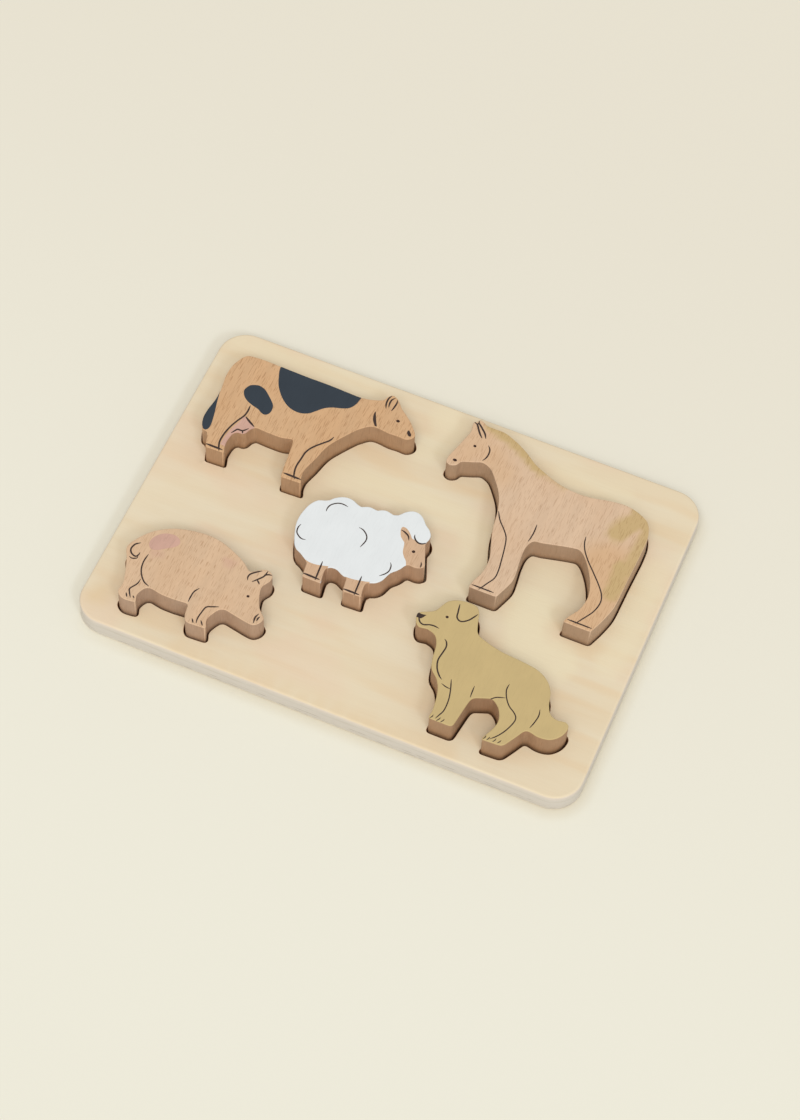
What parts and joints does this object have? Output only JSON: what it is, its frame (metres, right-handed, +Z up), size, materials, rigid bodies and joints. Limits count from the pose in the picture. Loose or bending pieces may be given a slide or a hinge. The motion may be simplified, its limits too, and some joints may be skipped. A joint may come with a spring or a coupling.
{
  "type": "wooden animal puzzle",
  "caption": "Plywood board with window cut-outs that hold thick beech farm animals, which lift out of their windows.",
  "frame": {"origin": "on the floor under the middle of the board", "axes": "+X along the board's long side, towards the horse and the dog; +Y from the animals' feet to their backs; +Z up"},
  "size_m": [0.3, 0.2154, 0.0278],
  "materials": {
    "birch_ply": "sanded plywood, light, fine straight grain along the board",
    "beech": "sanded solid beech with short dark flecks, satin",
    "slate_paint": "thin matt slate-grey paint and printed lines on the animals' tops",
    "white_paint": "thin matt white paint on the sheep's fleece",
    "pink_paint": "thin matt pink paint on the pig's patches and the cow's udder",
    "tan_paint": "thin olive-tan stain on the dog and on the horse's mane and tail"
  },
  "bodies": {
    "board": {"board_backing": "birch_ply", "board_sheet": "birch_ply"},
    "cow": {"cow": "beech"},
    "horse": {"horse": "beech"},
    "sheep": {"sheep": "beech"},
    "pig": {"pig": "beech"},
    "dog": {"dog": "beech"}
  },
  "joints": [
    {"name": "cow_lift", "type": "slide", "parent": "board", "child": "cow", "axis": [0, 0, 1], "range_m": [0, 0.04]},
    {"name": "horse_lift", "type": "slide", "parent": "board", "child": "horse", "axis": [0, 0, 1], "range_m": [0, 0.04]},
    {"name": "sheep_lift", "type": "slide", "parent": "board", "child": "sheep", "axis": [0, 0, 1], "range_m": [0, 0.04]},
    {"name": "pig_lift", "type": "slide", "parent": "board", "child": "pig", "axis": [0, 0, 1], "range_m": [0, 0.04]},
    {"name": "dog_lift", "type": "slide", "parent": "board", "child": "dog", "axis": [0, 0, 1], "range_m": [0, 0.04]}
  ]
}
